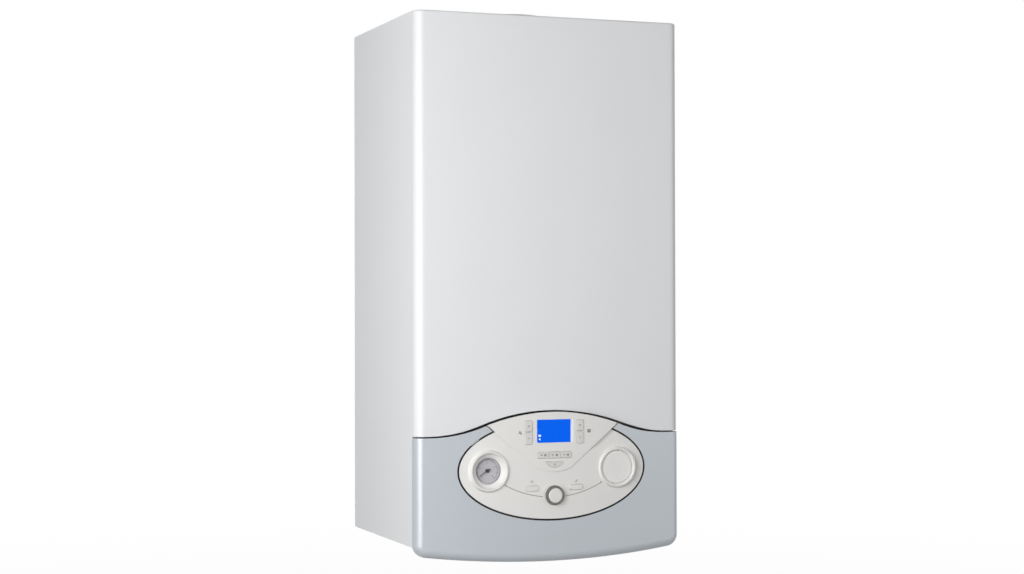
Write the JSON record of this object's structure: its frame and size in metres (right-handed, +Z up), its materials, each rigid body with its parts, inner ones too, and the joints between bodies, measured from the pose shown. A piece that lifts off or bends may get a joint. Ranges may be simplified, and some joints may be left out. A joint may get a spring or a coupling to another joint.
{
  "type": "wall-hung condensing gas boiler",
  "caption": "Wall-hung condensing boiler: white sheet casing, lift-off front, and a tilting silver fascia with an oval control panel, over a sealed burner chamber, fan, pump and water blocks.",
  "frame": {"origin": "on the wall, midway between the two hanging slots of the rear frame", "axes": "+X to the right seen from the front, +Y into the wall, +Z up; the front faces -Y"},
  "size_m": [0.4, 0.3204, 0.788],
  "materials": {
    "white_enamel": "fine-grained white powder coat",
    "galvanised_sheet": "galvanised, spangled",
    "silver_plastic": "metallic silver moulding",
    "cream_plastic": "satin pale grey moulding",
    "dark_plastic": "dark olive grey moulding",
    "clear_window": "clear gloss",
    "display_blue": "lit blue display",
    "gauge_white": "white printed dial",
    "needle_black": "black",
    "box_plastic": "grey moulding",
    "circuit_green": "solder mask",
    "vessel_red": "gloss red enamel",
    "cast_alloy": "as cast",
    "bright_steel": "brushed stainless",
    "black_plastic": "glass-filled nylon",
    "flue_plastic": "plain",
    "hose_rubber": "matt",
    "copper_pipe": "drawn copper",
    "yellow_brass": "machined"
  },
  "bodies": {
    "casing": {"left_side_panel": "white_enamel", "right_side_panel": "white_enamel", "top_panel": "white_enamel", "rear_frame": "galvanised_sheet", "pipe_rail": "galvanised_sheet", "combustion_chamber": "galvanised_sheet", "chamber_lid": "galvanised_sheet", "panel_supports": "galvanised_sheet", "expansion_vessel": "vessel_red", "heat_exchanger": "cast_alloy", "burner_door": "cast_alloy", "gas_valve": "cast_alloy", "pump_motor": "cast_alloy", "fan_motor": "cast_alloy", "burner_tube": "bright_steel", "ignition_electrodes": "bright_steel", "plate_exchanger": "bright_steel", "fan_housing": "black_plastic", "air_gas_mixer": "black_plastic", "diverter_motor": "black_plastic", "flow_block": "black_plastic", "return_block": "black_plastic", "flue_pipe": "flue_plastic", "flue_collar": "flue_plastic", "condensate_trap": "flue_plastic", "condensate_hose": "hose_rubber", "flow_pipe": "copper_pipe", "return_pipe": "copper_pipe", "vessel_pipe": "copper_pipe", "gas_pipe": "yellow_brass", "gas_feed_pipe": "yellow_brass", "safety_valve": "yellow_brass"},
    "cover": {"front_cover": "white_enamel"},
    "tilting_panel": {"fascia": "silver_plastic", "control_panel": "cream_plastic", "display_window": "clear_window", "lcd_module": "display_blue", "gauge_body": "gauge_white", "gauge_glass": "clear_window", "clock_blank": "cream_plastic", "control_box": "box_plastic", "control_box_lid": "box_plastic", "main_board": "circuit_green", "display_board": "circuit_green"},
    "fan_rotor": {"fan_wheel": "black_plastic"},
    "pump_rotor": {"pump_impeller": "black_plastic"},
    "fill_handle": {"filling_tap": "black_plastic"},
    "needle": {"gauge_needle": "needle_black"},
    "selector": {"knob_ring": "dark_plastic", "knob_cap": "cream_plastic"},
    "hot_water_plus_key": {"hot_water_plus_button": "cream_plastic"},
    "hot_water_minus_key": {"hot_water_minus_button": "cream_plastic"},
    "heating_plus_key": {"heating_plus_button": "cream_plastic"},
    "heating_minus_key": {"heating_minus_button": "cream_plastic"},
    "mode_key": {"mode_button": "cream_plastic"},
    "comfort_key": {"comfort_button": "cream_plastic"},
    "auto_key": {"auto_button": "cream_plastic"},
    "power_key": {"power_button": "cream_plastic"},
    "reset_key": {"reset_button": "cream_plastic"},
    "menu_key": {"menu_button": "cream_plastic"}
  },
  "joints": [
    {"name": "cover_lift_off", "type": "slide", "parent": "casing", "child": "cover", "axis": [0, -1, 0], "range_m": [0, 0.25]},
    {"name": "panel_tilt", "type": "hinge", "parent": "casing", "child": "tilting_panel", "pos_m": [0, -0.283, -0.709], "axis": [1, 0, 0], "range_deg": [0, 80]},
    {"name": "fan_spin", "type": "hinge", "parent": "casing", "child": "fan_rotor", "pos_m": [-0.11, -0.225, -0.26002], "axis": [0, 1, 0], "continuous": true},
    {"name": "pump_spin", "type": "hinge", "parent": "casing", "child": "pump_rotor", "pos_m": [0.122, -0.19, -0.554], "axis": [0, 1, 0], "continuous": true},
    {"name": "fill_turn", "type": "hinge", "parent": "casing", "child": "fill_handle", "pos_m": [0.1005, -0.167, -0.692], "axis": [0, 0, 1], "range_deg": [0, 360]},
    {"name": "needle_turn", "type": "hinge", "parent": "tilting_panel", "child": "needle", "pos_m": [-0.097, -0.305, -0.6], "axis": [0, -1, 0], "range_deg": [-256, 14]},
    {"name": "selector_turn", "type": "hinge", "parent": "tilting_panel", "child": "selector", "pos_m": [0, -0.315, -0.6365], "axis": [0, 1, 0], "continuous": true},
    {"name": "hot_water_plus_press", "type": "slide", "parent": "tilting_panel", "child": "hot_water_plus_key", "axis": [0, 1, 0], "range_m": [0, 0.0012], "stiffness_N_per_m": 400},
    {"name": "hot_water_minus_press", "type": "slide", "parent": "tilting_panel", "child": "hot_water_minus_key", "axis": [0, 1, 0], "range_m": [0, 0.0012], "stiffness_N_per_m": 400},
    {"name": "heating_plus_press", "type": "slide", "parent": "tilting_panel", "child": "heating_plus_key", "axis": [0, 1, 0], "range_m": [0, 0.0012], "stiffness_N_per_m": 400},
    {"name": "heating_minus_press", "type": "slide", "parent": "tilting_panel", "child": "heating_minus_key", "axis": [0, 1, 0], "range_m": [0, 0.0012], "stiffness_N_per_m": 400},
    {"name": "mode_press", "type": "slide", "parent": "tilting_panel", "child": "mode_key", "axis": [0, 1, 0], "range_m": [0, 0.0012], "stiffness_N_per_m": 400},
    {"name": "comfort_press", "type": "slide", "parent": "tilting_panel", "child": "comfort_key", "axis": [0, 1, 0], "range_m": [0, 0.0012], "stiffness_N_per_m": 400},
    {"name": "auto_press", "type": "slide", "parent": "tilting_panel", "child": "auto_key", "axis": [0, 1, 0], "range_m": [0, 0.0012], "stiffness_N_per_m": 400},
    {"name": "power_press", "type": "slide", "parent": "tilting_panel", "child": "power_key", "axis": [0, 1, 0], "range_m": [0, 0.0012], "stiffness_N_per_m": 400},
    {"name": "reset_press", "type": "slide", "parent": "tilting_panel", "child": "reset_key", "axis": [0, 1, 0], "range_m": [0, 0.0012], "stiffness_N_per_m": 400},
    {"name": "menu_press", "type": "slide", "parent": "tilting_panel", "child": "menu_key", "axis": [0, 1, 0], "range_m": [0, 0.0012], "stiffness_N_per_m": 400}
  ]
}
